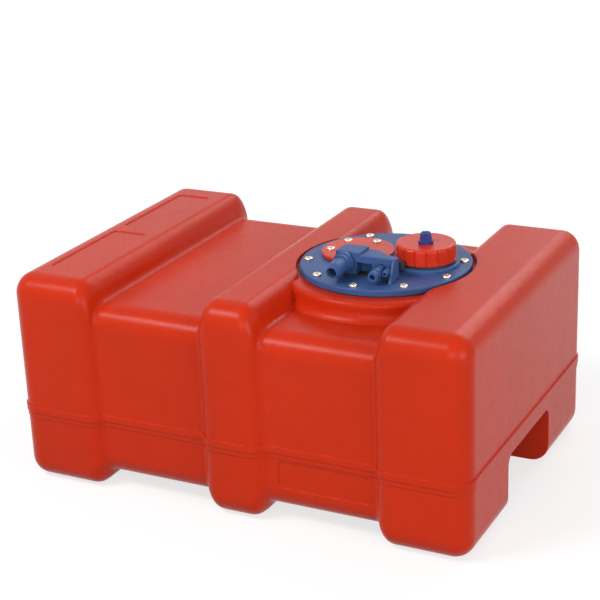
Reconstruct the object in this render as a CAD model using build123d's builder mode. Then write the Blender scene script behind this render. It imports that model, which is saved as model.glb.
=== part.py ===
"""Portable 33 litre fuel tank with a round fitting plate, in millimetres.

The origin lies under the middle of the tank, on the ground. +X runs along the tank and +Z points up.
The hose tails point to the front, along -Y.
"""

import os
from math import cos, radians, sin, tan

from build123d import *

# Tank shell
tank_length = 497.0
tank_width = 347.0
tank_height = 226.0
wall = 5.0
end_radius = 20.0
top_radius = 22.0
foot_radius = 22.0

# Bays between the pillars; their floors are set in on all four sides
pillar_half = 15.0
bay_start = 36.0
bay_end = 150.0
end_pillar_inner = 171.0
bay_depth = 10.0
valley_depth = 26.2
rib_depth = 14.8

# Shoulders between pillar and bay: a large round edge that ends in a small hollow one
shoulder_angle = 75.0
shoulder_share = 0.75
edge_steps = 4
edge_crowding = 1.3
crease_steps = 3
shoulder_thinning = 0.8

# Channel along the underside
channel_half = 62.0
channel_height = 64.0
channel_radius = 12.0

# Seam band round the waist: a proud bead with a lower step under it
seam_top = 83.9
seam_bead = 6.9
seam_step = 5.5
seam_proud = 1.5
seam_step_proud = 0.7

# Bare recessed label fields
field_depth = 0.9
field_radius = 4.0
side_field_length = 98.0
side_field_height = 29.0
side_field_x = 97.0
side_field_z = 54.5
top_field_length = 122.0
top_field_width = 40.0
top_field_x = -204.0
top_field_y = 70.0

# Collar under the fitting plate
plate_x = 94.85
collar_drop = 6.4
collar_root = 9.8
collar_ledge = 15.7
collar_flare = 12.0
collar_skirt = 1.0
collar_sink = 2.0
collar_edge = 5.0
collar_thickness = 15.0
opening_inset = 11.0
recess_gap = 4.0

# Fitting plate, its gasket and its fasteners
plate_radius = 87.3
plate_thickness = 6.2
plate_edge = 1.6
plate_gasket_thickness = 1.4
gasket_inset = 1.0
screw_inset = 8.3
screw_step = 36
first_screw = 18
skipped_screw = 162
screw_radius = 2.5
screw_head_radius = 4.4
screw_head_height = 2.2
screw_head_rounding = 1.3
screw_recess_length = 4.6
screw_recess_width = 1.1
screw_recess_depth = 1.2
screw_length = 14.0
screw_clearance = 0.3
fit_gap = 0.05
insert_radius = 4.2
insert_length = 10.0

# Sender opening and its blanking cover
sender_x = 58.5
sender_y = 12.0
sender_radius = 37.5
sender_thickness = 3.4
sender_edge = 1.4
sender_gasket_thickness = 0.8
sender_opening = 19.0
sender_circle = 28.0
first_sender_screw = 70
sender_screw_step = 66
sender_screw_count = 5
sender_screw_length = 9.0
sender_insert_length = 5.0

# Filler neck
cap_x = 136.0
cap_y = 6.0
neck_wall = 4.0
neck_foot_ledge = 3.8
neck_foot_height = 3.6
neck_tube_depth = 18.0
thread_depth = 1.1
thread_pitch = 4.0
thread_turns = 2
first_thread = 7.0

# Filler cap, its seal and its tether ring
cap_radius = 30.2
cap_height = 17.0
cap_skirt = 5.7
cap_top_thickness = 3.2
cap_top_rounding = 3.0
cap_lobes = 16
cap_groove_radius = 1.3
cap_clearance = 0.4
seal_thickness = 2.0
seal_inset = 0.5
tether_thickness = 2.4
tether_inset = 1.2
tether_lug_ledge = 2.3
tether_lug_angle = 242
tether_lug_radius = 6.0
tether_lug_height = 7.0
tether_gap = 0.6

# Vent screw in the cap
knob_radius = 7.3
knob_base_height = 2.2
wing_height = 10.0
wing_thickness = 6.0
wing_foot_width = 12.6
wing_top_width = 10.4
wing_corner = 3.5
wing_rounding = 2.2
pocket_width = 14.4
pocket_depth = 1.4
pocket_rim = 3.2
pocket_angle = -67.0
knob_gap = 0.5
boss_radius = 8.0
boss_height = 5.0
stem_radius = 3.0
stem_below_boss = 4.0
stem_in_knob = 2.2
stem_groove_depth = 0.6
vent_seal_radius = 5.6
vent_seal_thickness = 1.5
vent_seal_gap = 0.3
clip_radius = 5.0
clip_thickness = 0.8
clip_drop = 2.0

# Port housing
housing_left = 64.0
housing_right = 127.6
housing_back = -30.0
housing_front = -52.0
housing_shoulder = 90.0
housing_height = 21.8
housing_roof_step = 2.7
housing_corner = 8.0
housing_edge = 1.2
housing_gasket_thickness = 1.2
cap_grip_room = 19.8
fin_thickness = 2.6
fin_reach = 12.0
front_pocket_left = 86.0
front_pocket_right = 103.0
front_pocket_height = 13.0
front_pocket_depth = 12.0
housing_screw_length = 12.0
housing_screw_inset = 4.5

# Hose tails: vent, suction and return
droop = 4.0
front_above_plate = 9.8
vent_x = 73.7
vent_floor_gap = 3.5
vent_reach = 31.0
vent_radius = 8.0
vent_step_growth = 1.5
vent_step = 16.0
vent_wall = 3.0
vent_flange_growth = 1.1
suction_x = 112.6
suction_above_plate = 10.4
suction_reach = 22.0
suction_radius = 5.5
suction_bore = 2.8
return_x = 121.6
return_above_plate = 11.2
return_reach = 13.0
return_radius = 3.2
return_bore = 1.6
tail_flange_length = 3.0
nose_taper = 20.0
vent_nose = 6.0
small_nose = 2.0
barb_depth = 0.7
barb_length = 5.0
spigot_length = 7.0
spigot_share = 0.8
tail_seal_thickness = 1.0

# Passages down through the housing and the plate
vent_drop_y = -41.0
vent_drop_radius = 4.0
suction_drop_y = -44.0
suction_drop_radius = 2.0
return_drop_y = -46.5

# Pick-up inside the tank
nipple_length = 14.0
nipple_radius = 3.4
hose_wall = 1.8
hose_drop = 61.0
hose_slant = 50.0
hose_bend_radius = 24.0
hose_y = -112.0
clip_band_width = 6.0
clip_band_thickness = 0.75
clip_band_drop = 10.0
clip_lug = 4.0
strainer_radius = 12.0
strainer_wall = 1.5
strainer_length = 20.0
strainer_floor_gap = 2.0
strainer_nipple_length = 12.0
strainer_slots = 8
strainer_slot_width = 2.5
return_pipe_radius = 3.0
return_pipe_bore = 2.0
return_pipe_length = 40.0
return_socket_depth = 4.2

# Worked-out places
half_length = tank_length / 2
half_width = tank_width / 2
bay_y = half_width - bay_depth
valley_height = tank_height - valley_depth
screw_circle = plate_radius - screw_inset
collar_top = tank_height - collar_drop
collar_base = valley_height - collar_root
collar_radius = plate_radius + collar_ledge
collar_foot_radius = collar_radius + collar_flare + collar_skirt
collar_foot_top = valley_height - collar_sink
collar_opening = screw_circle - opening_inset
recess_radius = plate_radius + recess_gap
plate_bottom = collar_top + plate_gasket_thickness
plate_top = plate_bottom + plate_thickness
tether_bottom = plate_top + neck_foot_height
cap_bottom = tether_bottom + tether_thickness
cap_top = cap_bottom + cap_height
cap_ceiling = cap_top - cap_top_thickness
neck_top = cap_ceiling - seal_thickness
neck_bottom = plate_bottom - neck_tube_depth
thread_height = tether_bottom + first_thread
cap_bore = cap_radius - cap_skirt
neck_radius = cap_bore - cap_clearance - thread_depth
neck_bore = neck_radius - neck_wall
neck_foot_radius = cap_radius + neck_foot_ledge
tether_radius = cap_radius - tether_inset
tether_lug_place = cap_radius + tether_lug_ledge
knob_seat = cap_top - pocket_depth
boss_bottom = cap_ceiling - boss_height
stem_bottom = boss_bottom - stem_below_boss
clip_bottom = boss_bottom - clip_drop - clip_thickness
sender_bottom = plate_top + sender_gasket_thickness
sender_top = sender_bottom + sender_thickness
housing_bottom = plate_top + housing_gasket_thickness
housing_top = plate_top + housing_height
tail_plane_height = plate_top + front_above_plate
vent_step_radius = vent_radius + vent_step_growth
vent_flange_radius = vent_step_radius + vent_flange_growth
vent_bore = vent_radius - vent_wall
vent_tail = (vent_x, plate_top + vent_flange_radius + vent_floor_gap, vent_radius)
suction_tail = (suction_x, plate_top + suction_above_plate, suction_radius)
return_tail = (return_x, plate_top + return_above_plate, return_radius)
nipple_bottom = plate_bottom - nipple_length
hose_bend_top = plate_bottom - hose_drop
hose_bend_low = hose_bend_top - hose_slant
hose_radius = nipple_radius + hose_wall
strainer_bottom = rib_depth + wall + strainer_floor_gap
strainer_top = strainer_bottom + strainer_length
plate_axis = Axis((plate_x, 0, 0), (0, 0, 1))
cap_axis = Axis((cap_x, cap_y, 0), (0, 0, 1))
tail_direction = Vector(0, -cos(radians(droop)), -sin(radians(droop)))


def circle_points(centre_x, centre_y, radius, angles):
    """Points on a circle at the given angles, in degrees."""
    return [(centre_x + radius * cos(radians(a)), centre_y + radius * sin(radians(a))) for a in angles]


screw_angles = [first_screw + screw_step * k for k in range(360 // screw_step)]
screw_angles.remove(skipped_screw)
plate_screw_points = circle_points(plate_x, 0, screw_circle, screw_angles)
sender_screw_angles = [first_sender_screw + sender_screw_step * k for k in range(sender_screw_count)]
sender_screw_points = circle_points(sender_x, sender_y, sender_circle, sender_screw_angles)
housing_screw_points = [
    (housing_left + housing_screw_inset, housing_back - housing_screw_inset),
    (housing_left + housing_screw_inset, housing_front + housing_screw_inset),
    ((front_pocket_left + front_pocket_right) / 2, housing_back - housing_screw_inset),
]


def save(builder, name):
    """Label a finished piece and write it."""
    builder.part.label = name
    export_step(builder.part, f"parts/{name}.step")


def at_height(points, height):
    """The same plan points, lifted to a height."""
    return [(x, y, height) for x, y in points]


def axis_plane(x, y):
    """Upright plane through (x, y), facing the front, whose own Y is the height."""
    return Plane(origin=(x, y, 0), x_dir=(1, 0, 0), z_dir=(0, -1, 0))


def tail_plane(x, height, along=0.0):
    """Plane square to a hose tail, measured outwards from the front of the port housing."""
    front = Vector(x, housing_front - (height - tail_plane_height) * tan(radians(droop)), height)
    return Plane(origin=front + tail_direction * along, x_dir=(1, 0, 0), z_dir=tail_direction)


def ring(centre, outer, inner, bottom, height):
    """Flat ring round an upright axis."""
    with BuildPart() as band:
        with BuildSketch(Plane.XY.offset(bottom)):
            with Locations(centre):
                Circle(outer)
                Circle(inner, mode=Mode.SUBTRACT)
        extrude(amount=height)
    return band.part


def circles(points, radius, height):
    """Flat sketch of like circles at a height."""
    with BuildSketch(Plane.XY.offset(height), mode=Mode.PRIVATE) as outline:
        with Locations(*points):
            Circle(radius)
    return outline.sketch


def cut_holes(points, radius, bottom, height):
    """Cut round upright holes out of the part being built."""
    extrude(circles(points, radius, bottom), amount=height, mode=Mode.SUBTRACT)


def add_columns(points, radius, bottom, height):
    """Add round upright columns to the part being built."""
    extrude(circles(points, radius, bottom), amount=height)


def cross_section(share, inset):
    """Outline of the tank across its length: share 0 in a pillar, 1 in a bay, in between on a shoulder."""
    side = half_width - share * bay_depth - inset
    top = tank_height - share * valley_depth - inset
    bottom = share * rib_depth + inset
    with BuildSketch(mode=Mode.PRIVATE) as outline:
        with Locations((0, (top + bottom) / 2)):
            Rectangle(2 * side, top - bottom)
        fillet(outline.vertices().group_by(Axis.Y)[-1], top_radius - inset)
        fillet(outline.vertices().group_by(Axis.Y)[0], foot_radius - inset)
    return outline.sketch


def shoulder_steps():
    """Places along a shoulder, as shares of its run and of its depth, on two arcs that meet."""
    run = sin(radians(shoulder_angle))
    fall = 1 - cos(radians(shoulder_angle))
    steps = []
    for k in range(edge_steps + 1):
        turn = radians(shoulder_angle * (k / edge_steps) ** edge_crowding)
        steps.append((shoulder_share * sin(turn) / run, shoulder_share * (1 - cos(turn)) / fall))
    crease_share = 1 - shoulder_share
    for k in reversed(range(crease_steps)):
        turn = radians(shoulder_angle * k / crease_steps)
        steps.append((1 - crease_share * sin(turn) / run, 1 - crease_share * (1 - cos(turn)) / fall))
    return steps


def straight_stretch(start, end, share, inset):
    """Piece of the tank whose cross section stays the same."""
    with BuildPart() as piece:
        with BuildSketch(Plane.YZ.offset(start)):
            add(cross_section(share, inset))
        extrude(amount=end - start)
    return piece.part


def shoulder(pillar_x, bay_x, inset):
    """Rounded piece between a pillar and a bay."""
    with BuildPart() as piece:
        for run, share in shoulder_steps():
            with BuildSketch(Plane.YZ.offset(pillar_x + run * (bay_x - pillar_x))):
                add(cross_section(share, inset))
        loft()
    return piece.part


def end_pillar(inner, outer, inset):
    """Pillar at an end of the tank, rounded off round its end face."""
    with BuildPart() as piece:
        add(straight_stretch(inner, outer, 0, inset))
        end_face = piece.faces().sort_by(Axis.X)[-1 if outer > inner else 0]
        fillet(end_face.edges(), end_radius - inset)
    return piece.part


def tank_form(inset):
    """Outer shape of the tank without its channel, with every face moved inwards by the inset."""
    move = shoulder_thinning * inset
    middle_flat = pillar_half - move
    end_flat = end_pillar_inner + move
    with BuildPart() as form:
        add(straight_stretch(-middle_flat, middle_flat, 0, inset))
        for side in (-1, 1):
            bay = (side * (bay_start - move), side * (bay_end + move))
            add(shoulder(side * middle_flat, bay[0], inset))
            add(straight_stretch(*bay, 1, inset))
            add(shoulder(side * end_flat, bay[1], inset))
            add(end_pillar(side * end_flat, side * (half_length - inset), inset))
    return form.part


def channel_form(growth):
    """The channel under the tank, with its walls moved outwards by the growth."""
    half = channel_half + growth
    with BuildPart() as channel:
        with BuildSketch(Plane.YZ) as outline:
            with BuildLine():
                Polyline(
                    (-half, -wall),
                    (-half, channel_height + growth),
                    (half, channel_height + growth),
                    (half, -wall),
                    close=True,
                )
            make_face()
            fillet(outline.vertices().group_by(Axis.Y)[-1], channel_radius)
        extrude(amount=tank_length, both=True)
    return channel.part


def seam_ring(proud, bottom, top):
    """Slice of the tank's form, a little larger all round."""
    with BuildPart() as band:
        add(tank_form(-proud))
        with BuildSketch(Plane.XY.offset(bottom)):
            Rectangle(2 * tank_length, 2 * tank_width)
        extrude(amount=top - bottom, mode=Mode.INTERSECT)
    return band.part


def collar_form():
    """Solid round collar on top of the tank, with a hollow flare at its foot."""
    with BuildPart() as collar:
        with BuildSketch(axis_plane(plate_x, 0)) as outline:
            with BuildLine():
                Polyline(
                    (0, collar_base),
                    (collar_foot_radius, collar_base),
                    (collar_foot_radius, collar_foot_top),
                    (collar_radius, collar_foot_top),
                    (collar_radius, collar_top),
                    (0, collar_top),
                    close=True,
                )
            make_face()
            inner_corner = outline.vertices().sort_by_distance((collar_radius, collar_foot_top, 0))[0]
            fillet(inner_corner, collar_flare)
        revolve(axis=plate_axis)
        fillet(collar.edges().group_by(Axis.Z)[-1], collar_edge)
    return collar.part


def make_tank_shell():
    """Hollow moulded tank with its seam band, collar, channel and bare label fields."""
    with BuildPart() as cavity:
        add(tank_form(wall))
        ceiling = collar_top - collar_thickness
        floor = collar_base - wall
        cut_holes([(plate_x, 0)], collar_radius - wall, ceiling, tank_height)
        add_columns([(plate_x, 0)], collar_radius - wall, floor, ceiling - floor)
        add(channel_form(wall), mode=Mode.SUBTRACT)
    with BuildPart() as shell:
        add(tank_form(0))
        bead_bottom = seam_top - seam_bead
        add(seam_ring(seam_proud, bead_bottom, seam_top))
        add(seam_ring(seam_step_proud, bead_bottom - seam_step, bead_bottom))
        add(channel_form(0), mode=Mode.SUBTRACT)
        add(collar_form())
        cut_holes([(plate_x, 0)], recess_radius, collar_top, tank_height)
        add(cavity.part, mode=Mode.SUBTRACT)
        cut_holes([(plate_x, 0)], collar_opening, collar_top - 2 * collar_thickness, 2 * collar_thickness)
        cut_holes(plate_screw_points, insert_radius, collar_top - insert_length, insert_length)
        with BuildSketch(Plane.XZ.offset(bay_y)):
            with Locations((side_field_x, side_field_z)):
                RectangleRounded(side_field_length, side_field_height, field_radius)
        extrude(amount=-field_depth, mode=Mode.SUBTRACT)
        with BuildSketch(Plane.XY.offset(tank_height)):
            with Locations((top_field_x, -top_field_y), (top_field_x, top_field_y)):
                RectangleRounded(top_field_width, top_field_length, field_radius)
        extrude(amount=-field_depth, mode=Mode.SUBTRACT)
    save(shell, "tank_shell")


def pan_screw(length):
    """Pan-head screw with a cross recess, its head standing on height zero and its shank below it."""
    with BuildPart() as screw:
        with BuildSketch():
            Circle(screw_head_radius)
        extrude(amount=screw_head_height)
        fillet(screw.edges().group_by(Axis.Z)[-1], screw_head_rounding)
        with BuildSketch():
            Circle(screw_radius)
        extrude(amount=-length)
        with BuildSketch(Plane.XY.offset(screw_head_height)):
            Rectangle(screw_recess_length, screw_recess_width)
            Rectangle(screw_recess_width, screw_recess_length)
        extrude(amount=-screw_recess_depth, mode=Mode.SUBTRACT)
    return screw.part


def make_screws(name, points, seat, length, turned=0):
    """A set of like screws whose heads sit on a seat; turned by 180 they point upwards."""
    with BuildPart() as screws:
        with Locations(*at_height(points, seat)):
            add(pan_screw(length), rotation=(turned, 0, 0))
    save(screws, name)


def make_inserts(name, points, top, length):
    """Threaded metal inserts, level with the face they are moulded into."""
    with BuildPart() as inserts:
        with BuildSketch(Plane.XY.offset(top)):
            with Locations(*points):
                Circle(insert_radius - fit_gap)
                Circle(screw_radius + fit_gap, mode=Mode.SUBTRACT)
        extrude(amount=-length)
    save(inserts, name)


def make_plate_gasket():
    """Flat rubber ring between the collar and the fitting plate."""
    with BuildPart() as gasket:
        outer = plate_radius - gasket_inset
        add(ring((plate_x, 0), outer, collar_opening + gasket_inset, collar_top, plate_gasket_thickness))
        cut_holes(plate_screw_points, screw_radius + screw_clearance, collar_top, plate_gasket_thickness)
    save(gasket, "plate_gasket")


def thread_ring(radius, height, depth):
    """One ridge of a coarse screw thread round the filler neck."""
    half = thread_pitch / 4
    with BuildPart() as ridge:
        with BuildSketch(axis_plane(cap_x, cap_y)):
            with BuildLine():
                Polyline(
                    (radius - half, height - 2 * half),
                    (radius, height - half),
                    (radius + depth, height - half / 2),
                    (radius + depth, height + half / 2),
                    (radius, height + half),
                    (radius - half, height + 2 * half),
                    close=True,
                )
            make_face()
        revolve(axis=cap_axis)
    return ridge.part


def make_fitting_plate():
    """Round plate with the filler neck, the pipe nipples and the sender opening."""
    neck = [(cap_x, cap_y)]
    suction_drop = [(suction_x, suction_drop_y)]
    return_drop = [(return_x, return_drop_y)]
    with BuildPart() as plate:
        add_columns([(plate_x, 0)], plate_radius, plate_bottom, plate_thickness)
        fillet(plate.edges().group_by(Axis.Z)[-1], plate_edge)
        add_columns(neck, neck_foot_radius, plate_top, neck_foot_height)
        fillet(plate.edges().group_by(Axis.Z)[-1], plate_edge)
        add_columns(neck, neck_radius, neck_bottom, neck_top - neck_bottom)
        for turn in range(thread_turns):
            add(thread_ring(neck_radius, thread_height + turn * thread_pitch / 2, thread_depth))
        add_columns(suction_drop, nipple_radius, nipple_bottom, nipple_length)
        cut_holes(neck, neck_bore, 0, cap_top)
        cut_holes(plate_screw_points, screw_radius + screw_clearance, plate_bottom, plate_thickness)
        cut_holes([(sender_x, sender_y)], sender_opening, plate_bottom, plate_thickness)
        insert_bottom = plate_top - sender_insert_length
        cut_holes(sender_screw_points, insert_radius, insert_bottom, sender_insert_length)
        cut_holes(housing_screw_points, screw_radius + screw_clearance, plate_bottom, plate_thickness)
        cut_holes([(vent_x, vent_drop_y)], vent_drop_radius, plate_bottom, plate_thickness)
        cut_holes(suction_drop, suction_drop_radius, nipple_bottom, plate_top - nipple_bottom)
        cut_holes(return_drop, return_bore, plate_bottom, plate_thickness)
        cut_holes(return_drop, return_pipe_radius + fit_gap, plate_bottom, return_socket_depth)
    save(plate, "fitting_plate")


def make_sender_gasket():
    """Flat rubber ring under the blanking cover."""
    with BuildPart() as gasket:
        radius = sender_radius - sender_edge
        add(ring((sender_x, sender_y), radius, sender_opening, plate_top, sender_gasket_thickness))
        cut_holes(sender_screw_points, screw_radius + screw_clearance, plate_top, sender_gasket_thickness)
    save(gasket, "sender_gasket")


def make_sender_cover():
    """Round cover that blanks the level sender's opening."""
    with BuildPart() as cover:
        add_columns([(sender_x, sender_y)], sender_radius, sender_bottom, sender_thickness)
        fillet(cover.edges().group_by(Axis.Z)[-1], sender_edge)
        cut_holes(sender_screw_points, screw_radius + screw_clearance, sender_bottom, sender_thickness)
    save(cover, "sender_cover")


def draw_housing_plan():
    """Footprint of the port housing, hollowed at the back to leave room for the hand on the cap."""
    with Locations(((housing_left + housing_right) / 2, (housing_back + housing_front) / 2)):
        Rectangle(housing_right - housing_left, housing_back - housing_front)
    with Locations((cap_x, cap_y)):
        Circle(cap_radius + cap_grip_room, mode=Mode.SUBTRACT)


def make_housing_gasket():
    """Flat rubber pad under the port housing."""
    with BuildPart() as gasket:
        with BuildSketch(Plane.XY.offset(plate_top)):
            draw_housing_plan()
        extrude(amount=housing_gasket_thickness)
        cut_holes(housing_screw_points, screw_radius + screw_clearance, plate_top, housing_gasket_thickness)
        cut_holes([(vent_x, vent_drop_y)], vent_drop_radius, plate_top, housing_gasket_thickness)
        cut_holes([(suction_x, suction_drop_y)], suction_drop_radius, plate_top, housing_gasket_thickness)
        cut_holes([(return_x, return_drop_y)], return_bore, plate_top, housing_gasket_thickness)
    save(gasket, "housing_gasket")


def cut_passage(tail, bore, drop_y, drop_radius):
    """Cut a tail's socket, the passage behind it and the drop to the plate out of the port housing."""
    x, height, tail_radius = tail
    with BuildSketch(tail_plane(x, height), mode=Mode.PRIVATE) as socket:
        Circle(tail_radius * spigot_share + fit_gap)
    extrude(socket.sketch, amount=-spigot_length, mode=Mode.SUBTRACT)
    with BuildSketch(tail_plane(x, height), mode=Mode.PRIVATE) as passage:
        Circle(bore)
    extrude(passage.sketch, amount=housing_front - drop_y, mode=Mode.SUBTRACT)
    cut_holes([(x, drop_y)], drop_radius, housing_bottom, height - housing_bottom)


def make_port_housing():
    """Block that carries the hose tails, with an open pocket in its front and a cheek at its right."""
    height = housing_top - housing_bottom
    with BuildPart() as housing:
        with BuildSketch(Plane.XY.offset(housing_bottom)):
            draw_housing_plan()
        extrude(amount=height)
        with BuildSketch(Plane.XY.offset(housing_top)):
            with Locations(((housing_left + housing_shoulder) / 2, (housing_back + housing_front) / 2)):
                Rectangle(housing_shoulder - housing_left, housing_back - housing_front)
        extrude(amount=housing_roof_step)
        with BuildSketch(tail_plane(plate_x, tail_plane_height)):
            Rectangle(2 * plate_radius, 2 * plate_radius)
        extrude(amount=2 * plate_radius, mode=Mode.SUBTRACT)
        upright = housing.edges().filter_by(Axis.Z)
        fillet(upright.sort_by(lambda e: e.center().X - e.center().Y)[0], housing_corner)
        fillet(housing.edges().group_by(Axis.Z)[-1], housing_edge)
        lower_top = housing.faces().filter_by(Axis.Z).group_by(Axis.Z)[-2]
        fillet(lower_top.edges().filter_by(lambda e: e.center().X > housing_shoulder + 1), housing_edge)
        cut_front_pocket()
        add_cheek()
        cut_passage(vent_tail, vent_bore, vent_drop_y, vent_drop_radius)
        cut_passage(suction_tail, suction_bore, suction_drop_y, suction_drop_radius)
        cut_passage(return_tail, return_bore, return_drop_y, return_bore)
        shank = housing_screw_length - plate_thickness - housing_gasket_thickness
        cut_holes(housing_screw_points, screw_radius + fit_gap, housing_bottom, shank)
    save(housing, "port_housing")


def cut_front_pocket():
    """Cut the open pocket between the vent tail and the suction tail."""
    with BuildSketch(Plane.XY.offset(housing_bottom), mode=Mode.PRIVATE) as opening:
        with Locations(((front_pocket_left + front_pocket_right) / 2, housing_front)):
            Rectangle(front_pocket_right - front_pocket_left, 2 * front_pocket_depth)
    extrude(opening.sketch, amount=front_pocket_height, mode=Mode.SUBTRACT)


def add_cheek():
    """Add the thin cheek that reaches forward beside the return tail."""
    root = housing_front + fin_reach / 2
    front = housing_front - fit_gap
    with BuildSketch(Plane.YZ.offset(housing_right - fin_thickness), mode=Mode.PRIVATE) as cheek:
        with BuildLine():
            Polyline(
                (root, housing_bottom),
                (front, housing_bottom),
                (front, plate_top),
                (front - fin_reach, plate_top),
                (front - housing_edge, housing_top - housing_edge),
                (root, housing_top - housing_edge),
                close=True,
            )
        make_face()
    extrude(cheek.sketch, amount=fin_thickness)


def make_tail_seals():
    """Rubber rings between the hose tails and the port housing."""
    with BuildPart() as seals:
        for tail, outer in (
            (vent_tail, vent_flange_radius),
            (suction_tail, suction_radius),
            (return_tail, return_radius),
        ):
            x, height, tail_radius = tail
            with BuildSketch(tail_plane(x, height)):
                Circle(outer)
                Circle(tail_radius * spigot_share + fit_gap, mode=Mode.SUBTRACT)
            extrude(amount=tail_seal_thickness)
    save(seals, "tail_seals")


def make_hose_tail(name, tail, steps, nose, bore):
    """Hollow hose tail: a spigot in the housing, then steps of (radius, length) and a tapered nose."""
    x, height, radius = tail
    along = tail_seal_thickness
    with BuildPart() as pipe:
        with BuildSketch(tail_plane(x, height, -spigot_length)):
            Circle(radius * spigot_share)
        extrude(amount=spigot_length + along)
        for radius, length in steps:
            with BuildSketch(tail_plane(x, height, along)):
                Circle(radius)
            extrude(amount=length)
            along += length
        with BuildSketch(tail_plane(x, height, along)):
            Circle(radius)
        extrude(amount=nose, taper=nose_taper)
        with BuildSketch(tail_plane(x, height, along + nose)):
            Circle(bore)
        extrude(amount=-along - nose - spigot_length, mode=Mode.SUBTRACT)
    save(pipe, name)


def make_hose_tails():
    """The vent, suction and return hose tails."""
    vent_back = vent_reach - tail_seal_thickness - tail_flange_length - vent_step - vent_nose
    vent_steps = [
        (vent_flange_radius, tail_flange_length),
        (vent_step_radius, vent_back),
        (vent_radius, vent_step),
    ]
    make_hose_tail("vent_barb", vent_tail, vent_steps, vent_nose, vent_bore)
    barb_start = suction_reach - tail_seal_thickness - 2 * barb_length
    suction_steps = [
        (suction_radius - barb_depth, barb_start),
        (suction_radius, barb_length / 2),
        (suction_radius - barb_depth, barb_length / 2),
        (suction_radius, barb_length - small_nose),
    ]
    make_hose_tail("suction_barb", suction_tail, suction_steps, small_nose, suction_bore)
    return_steps = [(return_radius, return_reach - tail_seal_thickness - small_nose)]
    make_hose_tail("return_barb", return_tail, return_steps, small_nose, return_bore)


def make_filler_cap():
    """Screw cap with a grooved edge, a pocket in its top and a boss for the vent screw inside."""
    centre = [(cap_x, cap_y)]
    groove_angles = [k * 360 / cap_lobes for k in range(cap_lobes)]
    groove_points = circle_points(cap_x, cap_y, cap_radius, groove_angles)
    with BuildPart() as cap:
        add_columns(centre, cap_radius, cap_bottom, cap_height)
        fillet(cap.edges().group_by(Axis.Z)[-1], cap_top_rounding)
        cut_holes(groove_points, cap_groove_radius, cap_bottom, cap_height)
        cut_holes(centre, cap_bore, cap_bottom, cap_ceiling - cap_bottom)
        for turn in range(thread_turns):
            height = thread_height + (turn - 1) * thread_pitch / 2 - thread_pitch / 4
            add(thread_ring(cap_bore, height, thread_depth), mode=Mode.SUBTRACT)
        add_columns(centre, boss_radius, boss_bottom, boss_height)
        with BuildSketch(Plane.XY.offset(cap_top)):
            with Locations(Location((cap_x, cap_y), pocket_angle)):
                pocket_reach = cap_radius - pocket_rim
                with Locations((pocket_reach / 2, 0)):
                    Rectangle(pocket_reach, pocket_width)
                Circle(knob_radius + knob_gap)
        extrude(amount=-pocket_depth, mode=Mode.SUBTRACT)
        cut_holes(centre, vent_seal_radius + vent_seal_gap, knob_seat - vent_seal_thickness, cap_height)
        cut_holes(centre, stem_radius + fit_gap, boss_bottom, cap_height)
    save(cap, "filler_cap")


def make_vent_knob():
    """Wing knob of the vent screw, with a socket for its stem."""
    centre = [(cap_x, cap_y)]
    across = Vector(-sin(radians(pocket_angle)), cos(radians(pocket_angle)), 0)
    foot = (cap_x, cap_y, knob_seat + knob_base_height)
    wing_plane = Plane(origin=foot, x_dir=across, z_dir=across.cross(Vector(0, 0, 1)))
    with BuildPart() as knob:
        add_columns(centre, knob_radius, knob_seat, knob_base_height)
        with BuildSketch(wing_plane) as wing:
            with BuildLine():
                Polyline(
                    (-wing_foot_width / 2, 0),
                    (wing_foot_width / 2, 0),
                    (wing_top_width / 2, wing_height),
                    (-wing_top_width / 2, wing_height),
                    close=True,
                )
            make_face()
            fillet(wing.vertices().group_by(Axis.Y)[-1], wing_corner)
        extrude(amount=wing_thickness / 2, both=True)
        sides = knob.faces().filter_by(wing_plane)
        rims = [e for face in sides for e in face.edges() if e.center().Z > foot[2] + wing_rounding]
        fillet(rims, wing_rounding)
        cut_holes(centre, stem_radius + fit_gap, knob_seat, stem_in_knob)
    save(knob, "vent_knob")


def make_vent_screw_parts():
    """Stem of the vent screw, its rubber seal and the clip that keeps it in the cap."""
    centre = [(cap_x, cap_y)]
    with BuildPart() as stem:
        add_columns(centre, stem_radius, stem_bottom, knob_seat + stem_in_knob - stem_bottom)
        groove_floor = stem_radius - stem_groove_depth
        groove = ring(centre[0], 2 * stem_radius, groove_floor, clip_bottom, clip_thickness)
        add(groove, mode=Mode.SUBTRACT)
    save(stem, "vent_stem")
    with BuildPart() as seal:
        seal_bottom = knob_seat - vent_seal_thickness
        add(ring(centre[0], vent_seal_radius, stem_radius + fit_gap, seal_bottom, vent_seal_thickness))
    save(seal, "vent_seal")
    with BuildPart() as clip:
        add(ring(centre[0], clip_radius, groove_floor + fit_gap, clip_bottom, clip_thickness))
    save(clip, "vent_clip")


def make_cap_seal():
    """Flat rubber ring between the neck's rim and the inside of the cap."""
    with BuildPart() as seal:
        outer = neck_radius + thread_depth
        add(ring((cap_x, cap_y), outer, neck_bore + seal_inset, neck_top, seal_thickness))
    save(seal, "cap_seal")


def make_cap_tether():
    """Rubber ring under the cap, with a lug that stands up beside it."""
    lug = circle_points(cap_x, cap_y, tether_lug_place, [tether_lug_angle])
    with BuildPart() as tether:
        add_columns([(cap_x, cap_y)], tether_radius, tether_bottom, tether_thickness)
        add_columns(lug, tether_lug_radius, tether_bottom, tether_lug_height)
        cut_holes([(cap_x, cap_y)], cap_radius + tether_gap, cap_bottom, tether_lug_height)
        cut_holes([(cap_x, cap_y)], cap_bore, tether_bottom, tether_lug_height)
    save(tether, "cap_tether")


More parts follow.
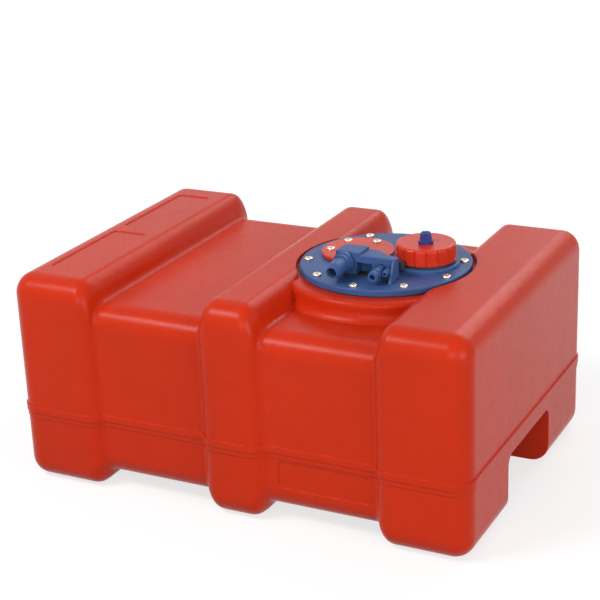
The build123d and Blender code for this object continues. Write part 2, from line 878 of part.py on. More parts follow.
def make_suction_hose():
    """Hose from the plate's nipple down to the strainer, bent outwards past the channel."""
    with BuildPart() as hose:
        with BuildLine() as path:
            FilletPolyline(
                (suction_x, suction_drop_y, plate_bottom),
                (suction_x, suction_drop_y, hose_bend_top),
                (suction_x, hose_y, hose_bend_low),
                (suction_x, hose_y, strainer_top),
                radius=hose_bend_radius,
            )
        with BuildSketch(Plane.XY.offset(plate_bottom)):
            with Locations((suction_x, suction_drop_y)):
                Circle(hose_radius)
                Circle(nipple_radius + fit_gap, mode=Mode.SUBTRACT)
        sweep(path=path.wires()[0])
    save(hose, "suction_hose")


def make_hose_clip():
    """Worm clip round the hose on the plate's nipple."""
    centre = (suction_x, suction_drop_y)
    outer = hose_radius + fit_gap + clip_band_thickness
    with BuildPart() as clip:
        add(ring(centre, outer, hose_radius + fit_gap, plate_bottom - clip_band_drop, clip_band_width))
        with BuildSketch(Plane.XY.offset(plate_bottom - clip_band_drop)):
            with Locations((suction_x - outer - clip_lug / 2 + clip_band_thickness / 2, suction_drop_y)):
                Rectangle(clip_lug, 2 * clip_lug)
        extrude(amount=clip_band_width)
    save(clip, "hose_clip")


def make_suction_strainer():
    """Slotted cup on the hose's lower end, with a nipple inside the hose."""
    centre = [(suction_x, hose_y)]
    inside = strainer_radius - strainer_wall
    with BuildPart() as strainer:
        add_columns(centre, strainer_radius, strainer_bottom, strainer_length)
        cut_holes(centre, inside, strainer_bottom, strainer_length - strainer_wall)
        with BuildSketch(Plane.XY.offset(strainer_bottom + strainer_wall)):
            with Locations(centre[0]):
                with PolarLocations(strainer_radius, strainer_slots):
                    Rectangle(4 * strainer_wall, strainer_slot_width)
        extrude(amount=strainer_length - 4 * strainer_wall, mode=Mode.SUBTRACT)
        add_columns(centre, nipple_radius, strainer_top, strainer_nipple_length)
        ceiling = strainer_top - strainer_wall
        cut_holes(centre, suction_drop_radius, ceiling, strainer_nipple_length + strainer_wall)
    save(strainer, "suction_strainer")


def make_return_pipe():
    """Short pipe pressed into the plate from below."""
    with BuildPart() as pipe:
        centre = (return_x, return_drop_y)
        bottom = plate_bottom + return_socket_depth - return_pipe_length
        add(ring(centre, return_pipe_radius, return_pipe_bore, bottom, return_pipe_length))
    save(pipe, "return_pipe")


os.makedirs("parts", exist_ok=True)
make_tank_shell()
make_inserts("collar_inserts", plate_screw_points, collar_top, insert_length)
make_plate_gasket()
make_fitting_plate()
make_screws("plate_screws", plate_screw_points, plate_top, screw_length)
make_inserts("sender_inserts", sender_screw_points, plate_top, sender_insert_length)
make_sender_gasket()
make_sender_cover()
make_screws("sender_screws", sender_screw_points, sender_top, sender_screw_length)
make_housing_gasket()
make_port_housing()
make_screws("housing_screws", housing_screw_points, plate_bottom, housing_screw_length, turned=180)
make_tail_seals()
make_hose_tails()
make_suction_hose()
make_hose_clip()
make_suction_strainer()
make_return_pipe()
make_cap_tether()
make_cap_seal()
make_filler_cap()
make_vent_knob()
make_vent_screw_parts()
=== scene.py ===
"""Looks and stage of a portable fuel tank, laid out as an add-on and run as a script."""

from math import radians

import bpy
from bpy.props import FloatProperty, FloatVectorProperty, PointerProperty
from mathutils import Matrix, Vector


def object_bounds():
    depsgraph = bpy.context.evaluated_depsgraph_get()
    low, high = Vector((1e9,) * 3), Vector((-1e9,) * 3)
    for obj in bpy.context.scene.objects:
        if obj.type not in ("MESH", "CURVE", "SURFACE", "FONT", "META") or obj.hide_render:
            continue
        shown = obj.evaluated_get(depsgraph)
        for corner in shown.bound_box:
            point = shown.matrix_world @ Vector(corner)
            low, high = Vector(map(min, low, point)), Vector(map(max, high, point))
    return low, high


bl_info = {
    "name": "Portable Fuel Tank",
    "version": (1, 0, 0),
    "blender": (4, 5, 0),
    "location": "View3D > Sidebar > Fuel Tank",
    "description": "Finishes the pieces of a portable fuel tank and sets its stage",
    "category": "Object",
}

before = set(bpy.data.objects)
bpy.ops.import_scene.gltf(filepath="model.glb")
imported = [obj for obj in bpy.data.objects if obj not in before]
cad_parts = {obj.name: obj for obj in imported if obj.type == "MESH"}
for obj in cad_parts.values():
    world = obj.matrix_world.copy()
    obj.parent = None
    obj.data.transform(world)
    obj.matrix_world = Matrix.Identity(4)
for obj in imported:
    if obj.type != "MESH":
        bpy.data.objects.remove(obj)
cad_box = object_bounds()

# ---------------------------------------------------------------- pieces and settings
# Lengths are in metres, and pattern scales in cells per metre.

# Which pieces take which finish
SHELL = ["tank_shell"]
CAP_RED = ["filler_cap", "sender_cover"]
BLUE = ["fitting_plate", "port_housing", "vent_barb", "suction_barb", "return_barb"]
KNOB_BLUE = ["vent_knob"]
STEEL = ["plate_screws", "sender_screws", "housing_screws", "hose_clip", "vent_stem", "vent_clip"]
BRASS = ["collar_inserts", "sender_inserts"]
RUBBER = [
    "plate_gasket",
    "sender_gasket",
    "housing_gasket",
    "tail_seals",
    "cap_seal",
    "cap_tether",
    "vent_seal",
]
HOSE = ["suction_hose"]
NATURAL = ["suction_strainer", "return_pipe"]

# Scratches: three sets, each with its turn in radians and its scale across the scratches
SCRATCH_SETS = ((0.4, 420.0), (-0.9, 520.0), (1.9, 460.0))
SCRATCH_TURN_SHARES = (0.7, 0.4, 1.0)
SCRATCH_ALONG = 14.0
SCRATCH_CUT = (0.66, 0.74)

# Likeness of the rounded and the true normal where edge wear begins and where it is full
WORN_LIKENESS = (0.995, 0.9)

# Part of a noise's range that is stretched to a soft cloud
CLOUD_BAND = (0.3, 0.7)

# Roughness that scratches and rub marks add
MARK_ROUGHNESS = 0.15

# Samples of the rounded normal, for worn edges and for the surface itself
WEAR_SAMPLES = 4
EDGE_SAMPLES = 6

# Share of the fine grain in the height of a moulded surface
GRAIN_SHARE = 0.05

# Tank shell
SHELL_ROUNDING = 0.0012
SHELL_GRAIN_HEIGHT = 0.0012
SHELL_WORN_RADIUS = 0.003
SHELL_WEAR_SHARE = 0.5
SHELL_MOTTLE = 0.2
SHELL_ROUGHNESS = (0.25, 0.3)
SHELL_SPECULAR = 0.12

# Injection-moulded pieces, and how they pale where they are rubbed
MOULDED_ROUNDING = 0.0006
MOULDED_GRAIN_HEIGHT = 0.0006
MOULDED_WORN_RADIUS = 0.0008
MOULDED_SCUFF_SHARE = 0.7
MOULDED_EDGE_SHARE = 0.8
MOULDED_ROUGHNESS_SPREAD = (-0.05, 0.07)
PALE_KEEP = 0.7
PALE_ADD = (0.12, 0.10, 0.10)

# Metal pieces
METAL_ROUNDING = 0.00025
METAL_WORN_RADIUS = 0.0003
METAL_ROUGHNESS_SPREAD = (-0.06, 0.1)
TURNING_SCALE = (1.0, 1.0, 6.0)
TURNING_HEIGHT = 0.00006

# Rubber pieces
RUBBER_GRAIN_HEIGHT = 0.0004
RUBBER_WORN_RADIUS = 0.0006
RUBBER_EDGE_WEAR = 0.4
RUBBER_ROUGHNESS_RISE = 0.15
RUBBER_BLOOM = 0.5
RUBBER_BLOOM_COLOUR = (0.045, 0.044, 0.042, 1.0)
RUBBER_WORN_COLOUR = (0.06, 0.058, 0.055, 1.0)

# How many times paler the hose is than the other rubber
HOSE_PALER = 1.5

# Stage: the camera's place, its angles in degrees, its lens and sensor in millimetres, how far
# it sees, and the turn about X that makes it look level
CAMERA_PLACE = (0.70864, -1.37705, 0.76020)
CAMERA_YAW = 27.39
CAMERA_PITCH = -20.81
CAMERA_ROLL = -2.38
CAMERA_LENS = 94.81
CAMERA_SENSOR = 36.0
CAMERA_REACH = 100.0
LEVEL_TURN = 90.0

# Stage: where the lamps stand, how large they are and where they point
LAMP_TARGET = (0.0, 0.0, 0.1)
OVERHEAD_PLACE = (-0.7, -0.95, 1.35)
OVERHEAD_DEPTH_SHARE = 0.5
FRONT_PLACE = (0.5, -2.0, 0.8)
FRONT_SIZE = (1.4, 1.0)
SIDE_PLACE = (1.9, -0.9, 0.6)
SIDE_SIZE = (1.2, 1.0)
BACK_PLACE = (0.3, 1.5, 1.4)
BACK_SIZE = (1.4, 1.0)

# Stage: the floor's grey, and its glow from beside the tank to further out
WHITE = (1.0, 1.0, 1.0, 1.0)
FLOOR_GREY = (0.35, 0.35, 0.35, 1.0)
GLOW_DISTANCES = (0.35, 1.3)
GLOW_STRENGTHS = (0.7, 1.0)


def colour_property(name, description, default):
    """Colour setting shown in the panel."""
    return FloatVectorProperty(
        name=name,
        description=description,
        subtype="COLOR",
        size=4,
        min=0.0,
        max=1.0,
        default=(*default, 1.0),
    )


def share_property(name, description, default):
    """Setting between nought and one."""
    return FloatProperty(
        name=name,
        description=description,
        min=0.0,
        max=1.0,
        default=default,
        subtype="FACTOR",
    )


def measure_property(name, description, default, unit):
    """Length in metres or lamp power in watts, as the unit says."""
    return FloatProperty(name=name, description=description, min=0.0, default=default, unit=unit)


class FuelTankColours(bpy.types.PropertyGroup):
    """Colours and wear of the finishes."""

    shell: colour_property("Shell red", "Moulded polyethylene of the tank", (0.56, 0.028, 0.005))
    shell_scuff: colour_property("Shell scuffs", "Pale rub marks on the tank", (0.6, 0.05, 0.02))
    cap: colour_property("Cap red", "Plastic of the cap and the round cover", (0.62, 0.03, 0.008))
    plate: colour_property("Plate blue", "Plastic of the fitting plate", (0.042, 0.092, 0.25))
    knob: colour_property("Knob blue", "Plastic of the vent knob", (0.03, 0.045, 0.2))
    steel: colour_property("Steel", "Screws and clips", (0.76, 0.69, 0.55))
    brass: colour_property("Brass", "Threaded inserts", (0.78, 0.58, 0.28))
    rubber: colour_property("Rubber", "Gaskets, seals and tether", (0.012, 0.012, 0.013))
    natural: colour_property("Natural nylon", "Strainer and return pipe", (0.62, 0.58, 0.48))
    wear: share_property("Wear", "How strongly edges and faces are rubbed", 0.35)


class FuelTankStage(bpy.types.PropertyGroup):
    """Sizes and strengths of the stage."""

    floor_size: measure_property("Floor size", "Edge length of the floor", 30.0, "LENGTH")
    lamp_size: measure_property("Lamp size", "Width of the overhead lamp", 0.75, "LENGTH")
    over_power: measure_property("Overhead power", "Power of the overhead lamp", 15.0, "POWER")
    front_power: measure_property("Front power", "Power of the lamp in front", 13.0, "POWER")
    side_power: measure_property("Side power", "Power of the lamp at the right end", 17.0, "POWER")
    back_power: measure_property("Back power", "Power of the lamp behind", 12.0, "POWER")
    sky: FloatProperty(
        name="Sky",
        description="Strength of the light from all round",
        default=0.3,
        min=0.0,
    )


# ---------------------------------------------------------------- node helpers


def clear_tree(owner):
    """Node tree of a material or a world, emptied."""
    owner.use_nodes = True
    owner.node_tree.nodes.clear()
    return owner.node_tree


def fresh_material(name):
    """Empty node material with a Principled shader, returned with its tree and shader."""
    material = bpy.data.materials.new(name)
    tree = clear_tree(material)
    output = tree.nodes.new("ShaderNodeOutputMaterial")
    shader = tree.nodes.new("ShaderNodeBsdfPrincipled")
    tree.links.new(shader.outputs["BSDF"], output.inputs["Surface"])
    return material, tree, shader


def add_node(tree, kind, **settings):
    """New node; keywords that name a setting of the node set that, the others set an input."""
    node = tree.nodes.new(kind)
    for key, value in settings.items():
        if hasattr(node, key):
            setattr(node, key, value)
        else:
            node.inputs[key.replace("_", " ")].default_value = value
    return node


def feed(tree, target, value):
    """Give an input a link, if the value is a socket, or else a plain value."""
    if hasattr(value, "is_output"):
        tree.links.new(value, target)
    else:
        target.default_value = value


def object_place(tree, scale=(1.0, 1.0, 1.0), turn=(0.0, 0.0, 0.0)):
    """Object coordinates, scaled and turned."""
    place = add_node(tree, "ShaderNodeTexCoord")
    mapping = add_node(tree, "ShaderNodeMapping", Scale=scale, Rotation=turn)
    tree.links.new(place.outputs["Object"], mapping.inputs["Vector"])
    return mapping.outputs["Vector"]


def noise(tree, place, scale, detail=3.0, roughness=0.55):
    """Value of a noise texture at a place."""
    node = add_node(tree, "ShaderNodeTexNoise", Scale=scale, Detail=detail, Roughness=roughness)
    tree.links.new(place, node.inputs["Vector"])
    return node.outputs["Fac"]


def remap(tree, value, source, target=(0.0, 1.0)):
    """Value stretched from one range to another and clamped."""
    node = add_node(tree, "ShaderNodeMapRange")
    node.inputs["From Min"].default_value, node.inputs["From Max"].default_value = source
    node.inputs["To Min"].default_value, node.inputs["To Max"].default_value = target
    tree.links.new(value, node.inputs["Value"])
    return node.outputs["Result"]


def compute(tree, operation, first, second):
    """Arithmetic on two values, each a socket or a number."""
    node = add_node(tree, "ShaderNodeMath", operation=operation)
    feed(tree, node.inputs[0], first)
    feed(tree, node.inputs[1], second)
    return node.outputs["Value"]


def blend_colours(tree, mask, first, second):
    """First colour where the mask is nought, second where it is one, each a socket or a tuple."""
    node = add_node(tree, "ShaderNodeMix", data_type="RGBA")
    factor, first_colour, second_colour = (node.inputs[index] for index in (0, 6, 7))
    tree.links.new(mask, factor)
    feed(tree, first_colour, first)
    feed(tree, second_colour, second)
    return node.outputs[2]


def shaded(colour, share):
    """The same colour, lighter or darker by a share."""
    return (colour[0] * share, colour[1] * share, colour[2] * share, 1.0)


def paled(colour):
    """The colour that a moulded piece turns where it is rubbed."""
    return (*(PALE_KEEP * part + extra for part, extra in zip(colour, PALE_ADD)), 1.0)


def rounded_normal(tree, radius):
    """Normal of a surface whose edges look rounded over a radius."""
    return add_node(tree, "ShaderNodeBevel", samples=EDGE_SAMPLES, Radius=radius).outputs["Normal"]


def set_bump(tree, shader, height, distance, strength=0.5, normal=None):
    """Raise the shader's surface by a height, over a normal if one is given."""
    node = add_node(tree, "ShaderNodeBump", Strength=strength, Distance=distance)
    tree.links.new(height, node.inputs["Height"])
    if normal is not None:
        tree.links.new(normal, node.inputs["Normal"])
    tree.links.new(node.outputs["Normal"], shader.inputs["Normal"])


# ---------------------------------------------------------------- shared effects


def group_tree(name, inputs, output):
    """New shader node group with its sockets, returned with its input and output nodes."""
    group = bpy.data.node_groups.new(name, "ShaderNodeTree")
    for socket_name, default in inputs:
        socket = group.interface.new_socket(
            socket_name, in_out="INPUT", socket_type="NodeSocketFloat"
        )
        socket.default_value = default
    group.interface.new_socket(output, in_out="OUTPUT", socket_type="NodeSocketFloat")
    entry = group.nodes.new("NodeGroupInput")
    leave = group.nodes.new("NodeGroupOutput")
    return group, entry, leave


def build_scuff_group():
    """Group that puts out a mask of fine straight scratches and soft rub marks."""
    group, entry, leave = group_tree("Scuffs", [("Amount", 0.5)], "Mask")
    marks = []
    for turn, across in SCRATCH_SETS:
        turns = tuple(share * turn for share in SCRATCH_TURN_SHARES)
        place = object_place(group, scale=(across, SCRATCH_ALONG, across), turn=turns)
        marks.append(remap(group, noise(group, place, scale=1.0, detail=2.0), SCRATCH_CUT))
    lines = compute(group, "MAXIMUM", compute(group, "MAXIMUM", marks[0], marks[1]), marks[2])
    place = object_place(group)
    patches = remap(group, noise(group, place, scale=22.0, detail=4.0), source=(0.5, 0.72))
    cloud = noise(group, place, scale=48.0, detail=6.0, roughness=0.7)
    rubs = remap(group, cloud, source=(0.6, 0.85), target=(0.0, 0.5))
    lines = compute(group, "MULTIPLY", lines, patches)
    both = compute(group, "ADD", lines, compute(group, "MULTIPLY", rubs, patches))
    result = compute(group, "MULTIPLY", both, entry.outputs["Amount"])
    group.links.new(result, leave.inputs["Mask"])
    return group


def build_edge_group():
    """Group that puts out a mask of rubbed edges, found by rounding the normal."""
    inputs = [("Radius", 0.002), ("Amount", 0.5)]
    group, entry, leave = group_tree("Edge Wear", inputs, "Mask")
    rounded = add_node(group, "ShaderNodeBevel", samples=WEAR_SAMPLES)
    group.links.new(entry.outputs["Radius"], rounded.inputs["Radius"])
    geometry = add_node(group, "ShaderNodeNewGeometry")
    likeness = add_node(group, "ShaderNodeVectorMath", operation="DOT_PRODUCT")
    group.links.new(rounded.outputs["Normal"], likeness.inputs[0])
    group.links.new(geometry.outputs["Normal"], likeness.inputs[1])
    edge = remap(group, likeness.outputs["Value"], WORN_LIKENESS)
    cloud = noise(group, object_place(group), scale=160.0, detail=5.0, roughness=0.7)
    broken = compute(group, "MULTIPLY", edge, remap(group, cloud, source=(0.38, 0.62)))
    mask = compute(group, "MULTIPLY", broken, entry.outputs["Amount"])
    group.links.new(mask, leave.inputs["Mask"])
    return group


def build_grain_group():
    """Group that puts out the height of a fine moulded grain with a slow waviness."""
    inputs = [("Grain", 900.0), ("Wave", 14.0), ("Wave Share", 0.5)]
    group, entry, leave = group_tree("Moulded Grain", inputs, "Height")
    fine = add_node(group, "ShaderNodeTexNoise", Detail=2.0)
    slow = add_node(group, "ShaderNodeTexNoise", Detail=1.0)
    place = object_place(group)
    for node, socket in ((fine, "Grain"), (slow, "Wave")):
        group.links.new(place, node.inputs["Vector"])
        group.links.new(entry.outputs[socket], node.inputs["Scale"])
    grain = compute(group, "MULTIPLY", fine.outputs["Fac"], GRAIN_SHARE)
    wave = compute(group, "MULTIPLY", slow.outputs["Fac"], entry.outputs["Wave Share"])
    group.links.new(compute(group, "ADD", grain, wave), leave.inputs["Height"])
    return group


def use_group(tree, name, builder, **values):
    """Output of a shared group placed in a material; the group is built the first time."""
    group = bpy.data.node_groups.get(name) or builder()
    node = tree.nodes.new("ShaderNodeGroup")
    node.node_tree = group
    for key, value in values.items():
        node.inputs[key.replace("_", " ")].default_value = value
    return node.outputs[0]


def cloudy_colour(tree, base, shades, scale, detail=4.0, roughness=0.6):
    """Base colour that drifts between two shades, returned with the mask of the drift."""
    cloud = noise(tree, object_place(tree), scale, detail, roughness)
    mask = remap(tree, cloud, CLOUD_BAND)
    dark, light = shades
    return blend_colours(tree, mask, shaded(base, dark), shaded(base, light)), mask


def scuffed(tree, colour, marked, amount):
    """Colour with scratches and rub marks, returned with their mask."""
    mask = use_group(tree, "Scuffs", build_scuff_group, Amount=amount)
    return blend_colours(tree, mask, colour, marked), mask


def edge_worn(tree, colour, worn, radius, amount):
    """Colour that turns to the worn one along the edges."""
    mask = use_group(tree, "Edge Wear", build_edge_group, Radius=radius, Amount=amount)
    return blend_colours(tree, mask, colour, worn)


def moulded_grain(tree, grain, wave, wave_share):
    """Height of the moulded grain, at the scales of one material."""
    values = {"Grain": grain, "Wave": wave, "Wave_Share": wave_share}
    return use_group(tree, "Moulded Grain", build_grain_group, **values)


def set_marked_roughness(tree, shader, roughness, marks):
    """Roughness that rises where the surface is marked."""
    rise = compute(tree, "MULTIPLY", marks, MARK_ROUGHNESS)
    tree.links.new(compute(tree, "ADD", roughness, rise), shader.inputs["Roughness"])


def spread_about(middle, spread):
    """Range about a middle value."""
    return (middle + spread[0], middle + spread[1])


def give(material, names):
    """Put one material on CAD pieces."""
    for name in names:
        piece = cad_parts[name]
        piece.data.materials.clear()
        piece.data.materials.append(material)


# ---------------------------------------------------------------- finishes


def shell_material(colours):
    """Satin red polyethylene with a slow waviness, rub marks and slightly pale edges."""
    material, tree, shader = fresh_material("Red polyethylene")
    base = tuple(colours.shell)
    pale = tuple(colours.shell_scuff)
    wear = SHELL_WEAR_SHARE * colours.wear
    colour, _ = cloudy_colour(tree, base, shades=(0.93, 1.05), scale=7.0, detail=3.0, roughness=0.55)
    cloud = noise(tree, object_place(tree), scale=70.0, detail=4.0, roughness=0.65)
    mottle = remap(tree, cloud, source=(0.35, 0.65), target=(0.0, SHELL_MOTTLE))
    colour = blend_colours(tree, mottle, colour, shaded(base, share=0.88))
    colour, marks = scuffed(tree, colour, pale, wear)
    colour = edge_worn(tree, colour, pale, SHELL_WORN_RADIUS, wear)
    tree.links.new(colour, shader.inputs["Base Color"])
    roughness = remap(tree, mottle, (0.0, SHELL_MOTTLE), SHELL_ROUGHNESS)
    set_marked_roughness(tree, shader, roughness, marks)
    shader.inputs["Specular IOR Level"].default_value = SHELL_SPECULAR
    height = moulded_grain(tree, grain=1100.0, wave=16.0, wave_share=0.35)
    rounded = rounded_normal(tree, SHELL_ROUNDING)
    set_bump(tree, shader, height, SHELL_GRAIN_HEIGHT, normal=rounded)
    return material


def moulded_material(name, base, wear, roughness, specular=0.5):
    """Injection-moulded plastic with fine grain, light scratches and rubbed edges."""
    material, tree, shader = fresh_material(name)
    pale = paled(base)
    colour, _ = cloudy_colour(tree, base, shades=(0.88, 1.08), scale=45.0)
    colour, marks = scuffed(tree, colour, pale, MOULDED_SCUFF_SHARE * wear)
    colour = edge_worn(tree, colour, pale, MOULDED_WORN_RADIUS, MOULDED_EDGE_SHARE * wear)
    tree.links.new(colour, shader.inputs["Base Color"])
    cloud = noise(tree, object_place(tree), scale=220.0)
    roughness_range = spread_about(roughness, MOULDED_ROUGHNESS_SPREAD)
    set_marked_roughness(tree, shader, remap(tree, cloud, CLOUD_BAND, roughness_range), marks)
    shader.inputs["Specular IOR Level"].default_value = specular
    height = moulded_grain(tree, grain=1400.0, wave=60.0, wave_share=0.15)
    rounded = rounded_normal(tree, MOULDED_ROUNDING)
    set_bump(tree, shader, height, MOULDED_GRAIN_HEIGHT, normal=rounded)
    return material


def metal_material(name, base, wear, roughness):
    """Turned metal with fine marks and a slightly uneven sheen."""
    material, tree, shader = fresh_material(name)
    colour, cloud = cloudy_colour(tree, base, shades=(0.8, 1.08), scale=300.0)
    colour = edge_worn(tree, colour, shaded(base, share=1.25), METAL_WORN_RADIUS, wear)
    tree.links.new(colour, shader.inputs["Base Color"])
    roughness_range = spread_about(roughness, METAL_ROUGHNESS_SPREAD)
    uneven = remap(tree, cloud, (0.0, 1.0), roughness_range)
    tree.links.new(uneven, shader.inputs["Roughness"])
    shader.inputs["Metallic"].default_value = 1.0
    place = object_place(tree, scale=TURNING_SCALE)
    lines = noise(tree, place, scale=2600.0, detail=2.0)
    rounded = rounded_normal(tree, METAL_ROUNDING)
    set_bump(tree, shader, lines, TURNING_HEIGHT, normal=rounded)
    return material


def rubber_material(name, base, roughness):
    """Matt black rubber with a dusty bloom."""
    material, tree, shader = fresh_material(name)
    cloud = noise(tree, object_place(tree), scale=130.0, detail=5.0, roughness=0.65)
    bloom = remap(tree, cloud, source=(0.45, 0.75), target=(0.0, RUBBER_BLOOM))
    colour = blend_colours(tree, bloom, base, RUBBER_BLOOM_COLOUR)
    colour = edge_worn(tree, colour, RUBBER_WORN_COLOUR, RUBBER_WORN_RADIUS, RUBBER_EDGE_WEAR)
    tree.links.new(colour, shader.inputs["Base Color"])
    roughness_range = (roughness, roughness + RUBBER_ROUGHNESS_RISE)
    dusty = remap(tree, bloom, (0.0, RUBBER_BLOOM), roughness_range)
    tree.links.new(dusty, shader.inputs["Roughness"])
    height = moulded_grain(tree, grain=1800.0, wave=90.0, wave_share=0.1)
    set_bump(tree, shader, height, RUBBER_GRAIN_HEIGHT, strength=0.6)
    return material


class FUELTANK_OT_finish_shell(bpy.types.Operator):
    """Give the tank shell its moulded red finish"""

    bl_idname = "fueltank.finish_shell"
    bl_label = "Finish Tank Shell"

    def execute(self, context):
        give(shell_material(context.scene.fuel_tank_colours), SHELL)
        return {"FINISHED"}


class FUELTANK_OT_finish_plate(bpy.types.Operator):
    """Give the fitting plate, the port housing and the hose tails their blue finish"""

    bl_idname = "fueltank.finish_plate"
    bl_label = "Finish Fitting Plate"

    def execute(self, context):
        colours = context.scene.fuel_tank_colours
        blue = tuple(colours.plate)
        nylon = moulded_material("Blue nylon", blue, colours.wear, roughness=0.4, specular=0.2)
        give(nylon, BLUE)
        return {"FINISHED"}


class FUELTANK_OT_finish_cap(bpy.types.Operator):
    """Give the cap, the round cover and the vent knob their finishes"""

    bl_idname = "fueltank.finish_cap"
    bl_label = "Finish Cap"

    def execute(self, context):
        colours = context.scene.fuel_tank_colours
        wear = colours.wear
        red = tuple(colours.cap)
        blue = tuple(colours.knob)
        cap = moulded_material("Red cap plastic", red, wear, roughness=0.27, specular=0.25)
        knob = moulded_material("Blue knob plastic", blue, wear, roughness=0.28, specular=0.3)
        give(cap, CAP_RED)
        give(knob, KNOB_BLUE)
        return {"FINISHED"}


class FUELTANK_OT_finish_metal(bpy.types.Operator):
    """Give the screws, clips and inserts their metal finishes"""

    bl_idname = "fueltank.finish_metal"
    bl_label = "Finish Metal"

    def execute(self, context):
        colours = context.scene.fuel_tank_colours
        wear = colours.wear
        give(metal_material("Screw steel", tuple(colours.steel), wear, roughness=0.24), STEEL)
        give(metal_material("Insert brass", tuple(colours.brass), wear, roughness=0.32), BRASS)
        return {"FINISHED"}


class FUELTANK_OT_finish_rubber(bpy.types.Operator):
    """Give the gaskets, seals, tether and hose their rubber finishes"""

    bl_idname = "fueltank.finish_rubber"
    bl_label = "Finish Rubber"

    def execute(self, context):
        black = tuple(context.scene.fuel_tank_colours.rubber)
        give(rubber_material("Black rubber", black, roughness=0.5), RUBBER)
        give(rubber_material("Hose rubber", shaded(black, HOSE_PALER), roughness=0.45), HOSE)
        return {"FINISHED"}


class FUELTANK_OT_finish_pickup(bpy.types.Operator):
    """Give the strainer and the return pipe their natural nylon finish"""

    bl_idname = "fueltank.finish_pickup"
    bl_label = "Finish Pick-up"

    def execute(self, context):
        colours = context.scene.fuel_tank_colours
        natural = tuple(colours.natural)
        nylon = moulded_material("Natural nylon", natural, colours.wear, roughness=0.45)
        give(nylon, NATURAL)
        return {"FINISHED"}


# ---------------------------------------------------------------- stage


def background_share(tree):
    """One for camera, mirror and glass rays, which see the pale background, else nought."""
    path = add_node(tree, "ShaderNodeLightPath")
    seen = compute(tree, "MAXIMUM", path.outputs["Is Camera Ray"], path.outputs["Is Glossy Ray"])
    return compute(tree, "MAXIMUM", seen, path.outputs["Is Transmission Ray"])


def floor_material():
    """Plain pale floor that turns white away from the tank and still takes its shadow."""
    material = bpy.data.materials.new("Pale floor")
    tree = clear_tree(material)
    output = tree.nodes.new("ShaderNodeOutputMaterial")
    diffuse = add_node(tree, "ShaderNodeBsdfDiffuse", Color=FLOOR_GREY)
    glow = add_node(tree, "ShaderNodeEmission", Color=WHITE)
    distance = add_node(tree, "ShaderNodeVectorMath", operation="LENGTH")
    tree.links.new(object_place(tree), distance.inputs[0])
    fade = remap(tree, distance.outputs["Value"], GLOW_DISTANCES, GLOW_STRENGTHS)
    strength = compute(tree, "MULTIPLY", background_share(tree), fade)
    tree.links.new(strength, glow.inputs["Strength"])
    both = tree.nodes.new("ShaderNodeAddShader")
    tree.links.new(diffuse.outputs["BSDF"], both.inputs[0])
    tree.links.new(glow.outputs["Emission"], both.inputs[1])
    tree.links.new(both.outputs["Shader"], output.inputs["Surface"])
    return material


def add_floor(size):
    """Large pale floor under the tank."""
    ground = cad_box[0][2]
    bpy.ops.mesh.primitive_plane_add(size=size, location=(0.0, 0.0, ground))
    floor = bpy.context.active_object
    floor.name = "floor"
    floor.data.materials.append(floor_material())


def add_lamp(name, place, size, power):
    """Soft lamp that points at the tank's middle."""
    bpy.ops.object.light_add(type="AREA", location=place)
    lamp = bpy.context.active_object
    lamp.name = name
    lamp.data.shape = "RECTANGLE"
    lamp.data.size, lamp.data.size_y = size
    lamp.data.energy = power
    aim = Vector(LAMP_TARGET) - Vector(place)
    lamp.rotation_euler = aim.to_track_quat("-Z", "Y").to_euler()


def set_world(sky):
    """Even pale light from all round, white where the background is seen."""
    world = bpy.data.worlds.new("Pale sky")
    bpy.context.scene.world = world
    tree = clear_tree(world)
    output = tree.nodes.new("ShaderNodeOutputWorld")
    light = add_node(tree, "ShaderNodeBackground", Color=WHITE)
    strength = remap(tree, background_share(tree), (0.0, 1.0), (sky, 1.0))
    tree.links.new(strength, light.inputs["Strength"])
    tree.links.new(light.outputs["Background"], output.inputs["Surface"])


def add_camera():
    """Camera that looks down on the tank from the front right."""
    bpy.ops.object.camera_add(location=CAMERA_PLACE)
    camera = bpy.context.active_object
    camera.name = "camera"
    turn = Matrix.Rotation(radians(CAMERA_YAW), 4, "Z")
    tilt = Matrix.Rotation(radians(LEVEL_TURN + CAMERA_PITCH), 4, "X")
    roll = Matrix.Rotation(radians(CAMERA_ROLL), 4, "Z")
    camera.rotation_euler = (turn @ tilt @ roll).to_euler()
    camera.data.lens = CAMERA_LENS
    camera.data.sensor_width = CAMERA_SENSOR
    camera.data.clip_end = CAMERA_REACH
    bpy.context.scene.camera = camera


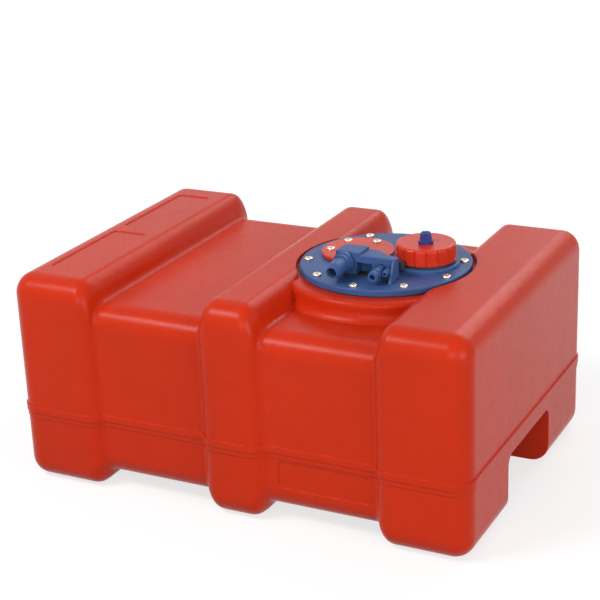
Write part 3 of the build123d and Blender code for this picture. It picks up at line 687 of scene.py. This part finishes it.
class FUELTANK_OT_set_stage(bpy.types.Operator):
    """Add the floor, the soft lamps and the camera"""

    bl_idname = "fueltank.set_stage"
    bl_label = "Set Stage"

    def execute(self, context):
        stage = context.scene.fuel_tank_stage
        context.scene.view_settings.view_transform = "Standard"
        add_floor(stage.floor_size)
        overhead_size = (stage.lamp_size, OVERHEAD_DEPTH_SHARE * stage.lamp_size)
        add_lamp("overhead lamp", OVERHEAD_PLACE, overhead_size, stage.over_power)
        add_lamp("front lamp", FRONT_PLACE, FRONT_SIZE, stage.front_power)
        add_lamp("side lamp", SIDE_PLACE, SIDE_SIZE, stage.side_power)
        add_lamp("back lamp", BACK_PLACE, BACK_SIZE, stage.back_power)
        set_world(stage.sky)
        add_camera()
        return {"FINISHED"}


# ---------------------------------------------------------------- panel and run

STEPS = [
    "fueltank.finish_shell",
    "fueltank.finish_plate",
    "fueltank.finish_cap",
    "fueltank.finish_metal",
    "fueltank.finish_rubber",
    "fueltank.finish_pickup",
    "fueltank.set_stage",
]


class FUELTANK_PT_panel(bpy.types.Panel):
    """Steps and settings of the fuel tank"""

    bl_idname = "FUELTANK_PT_panel"
    bl_label = "Fuel Tank"
    bl_space_type = "VIEW_3D"
    bl_region_type = "UI"
    bl_category = "Fuel Tank"

    def draw(self, context):
        for step in STEPS:
            self.layout.operator(step)
        for group in (context.scene.fuel_tank_colours, context.scene.fuel_tank_stage):
            column = self.layout.column()
            for name in group.__annotations__:
                column.prop(group, name)


CLASSES = [
    FuelTankColours,
    FuelTankStage,
    FUELTANK_OT_finish_shell,
    FUELTANK_OT_finish_plate,
    FUELTANK_OT_finish_cap,
    FUELTANK_OT_finish_metal,
    FUELTANK_OT_finish_rubber,
    FUELTANK_OT_finish_pickup,
    FUELTANK_OT_set_stage,
    FUELTANK_PT_panel,
]


def register():
    """Register the classes and hang the settings on the scene."""
    for item in CLASSES:
        bpy.utils.register_class(item)
    bpy.types.Scene.fuel_tank_colours = PointerProperty(type=FuelTankColours)
    bpy.types.Scene.fuel_tank_stage = PointerProperty(type=FuelTankStage)


def unregister():
    """Take the settings and the classes away again."""
    del bpy.types.Scene.fuel_tank_stage
    del bpy.types.Scene.fuel_tank_colours
    for item in reversed(CLASSES):
        bpy.utils.unregister_class(item)


def main():
    """Run every step in order."""
    register()
    for step in STEPS:
        group, name = step.split(".")
        getattr(getattr(bpy.ops, group), name)()


if __name__ == "__main__":
    main()
